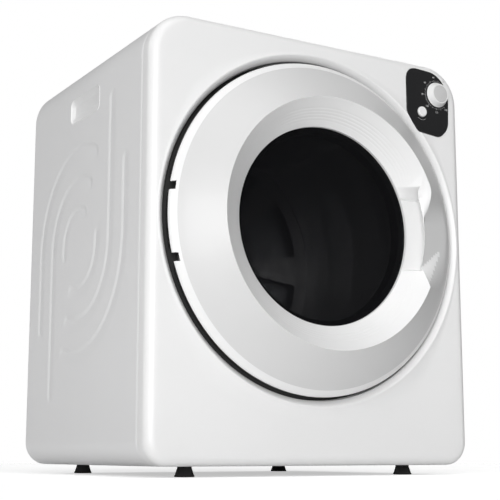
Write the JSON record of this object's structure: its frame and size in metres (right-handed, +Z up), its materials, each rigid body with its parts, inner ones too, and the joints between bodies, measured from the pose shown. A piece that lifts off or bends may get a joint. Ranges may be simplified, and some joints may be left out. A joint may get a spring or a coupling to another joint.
{
  "type": "clothes dryer",
  "caption": "Compact front-loading vented clothes dryer with a round side-hinged door, smoked window, corner timer knob, start button and cone feet.",
  "frame": {"origin": "on the floor, under the middle of the whole machine", "axes": "+X to the right seen from the front, +Y from the door to the back, +Z up"},
  "size_m": [0.6024, 0.604, 0.704],
  "materials": {
    "white_steel": "smooth white enamel",
    "white_plastic": "gloss white moulding",
    "grey_plastic": "satin grey moulding",
    "cream_plastic": "matte cream moulding",
    "black_gloss": "high gloss black",
    "black_plastic": "fine grained black",
    "black_metal": "black powder coat",
    "black_rubber": "matte black rubber",
    "grey_rubber": "matte grey rubber",
    "smoked_glass": "smoked, polished",
    "drum_steel": "brushed",
    "galvanised_steel": "galvanised spangle",
    "bright_steel": "turned",
    "motor_paint": "grey paint",
    "heater_fins": "dull fins",
    "felt": "pressed wool felt"
  },
  "bodies": {
    "cabinet": {"cabinet_wrap": "white_steel", "grip_left": "white_plastic", "grip_right": "white_plastic", "front_panel": "white_plastic", "back_panel": "galvanised_steel", "base_pan": "galvanised_steel", "foot_front_left": "black_rubber", "foot_front_right": "black_rubber", "foot_rear_left": "black_rubber", "foot_rear_right": "black_rubber", "control_plate": "black_gloss", "timer_unit": "cream_plastic", "start_switch": "black_plastic", "hinge_bracket": "black_metal", "door_latch": "black_plastic", "door_switch": "black_plastic", "front_bulkhead": "galvanised_steel", "front_drum_felt": "felt", "rear_bulkhead": "galvanised_steel", "rear_drum_felt": "felt", "rear_hub": "black_plastic", "drum_bearing_ring": "cream_plastic", "motor": "motor_paint", "motor_mount": "galvanised_steel", "drive_belt": "black_rubber", "idler_arm": "galvanised_steel", "air_duct": "galvanised_steel", "blower_housing": "black_plastic", "exhaust_collar": "grey_plastic", "heater_cover": "galvanised_steel", "heater_element": "heater_fins", "thermostat": "black_plastic", "terminal_box": "cream_plastic", "cord_gland": "black_plastic"},
    "door": {"door_ring": "white_plastic", "door_glass": "smoked_glass", "glass_clamp": "black_plastic", "door_inner_frame": "black_plastic", "door_seal": "grey_rubber", "door_bowl": "smoked_glass", "hinge_pin_upper": "bright_steel", "hinge_pin_lower": "bright_steel", "door_catch": "white_plastic"},
    "timer": {"timer_knob": "white_plastic", "timer_knob_cap": "grey_plastic", "timer_shaft": "bright_steel"},
    "button": {"start_button": "white_plastic"},
    "drum": {"drum": "drum_steel", "lifter_1": "grey_plastic", "lifter_2": "grey_plastic", "lifter_3": "grey_plastic"},
    "rotor": {"motor_shaft": "bright_steel", "motor_pulley": "black_metal", "blower_wheel": "black_plastic"},
    "idler": {"idler_pulley": "cream_plastic"},
    "filter": {"lint_filter": "black_plastic"}
  },
  "joints": [
    {"name": "door_hinge", "type": "hinge", "parent": "cabinet", "child": "door", "pos_m": [-0.252, -0.25, 0.391], "axis": [0, 0, -1], "range_deg": [0, 120]},
    {"name": "timer_turn", "type": "hinge", "parent": "cabinet", "child": "timer", "pos_m": [0.2505, -0.25, 0.651], "axis": [0, 1, 0], "range_deg": [0, 330]},
    {"name": "start_press", "type": "slide", "parent": "cabinet", "child": "button", "axis": [0, 1, 0], "range_m": [0, 0.0025], "stiffness_N_per_m": 400, "springref_m": -0.001},
    {"name": "drum_spin", "type": "hinge", "parent": "cabinet", "child": "drum", "pos_m": [0, 0, 0.391], "axis": [0, 1, 0], "continuous": true},
    {"name": "motor_spin", "type": "hinge", "parent": "cabinet", "child": "rotor", "pos_m": [0.17, 0, 0.095], "axis": [0, 1, 0], "continuous": true},
    {"name": "idler_spin", "type": "hinge", "parent": "cabinet", "child": "idler", "pos_m": [0.096, 0, 0.092], "axis": [0, 1, 0], "continuous": true},
    {"name": "filter_pull", "type": "slide", "parent": "cabinet", "child": "filter", "axis": [0, -1, 0], "range_m": [0, 0.08]}
  ],
  "couplings": [
    {"joint": "motor_spin", "follows": "drum_spin", "ratio": 16.2},
    {"joint": "idler_spin", "follows": "drum_spin", "ratio": 14.3}
  ]
}
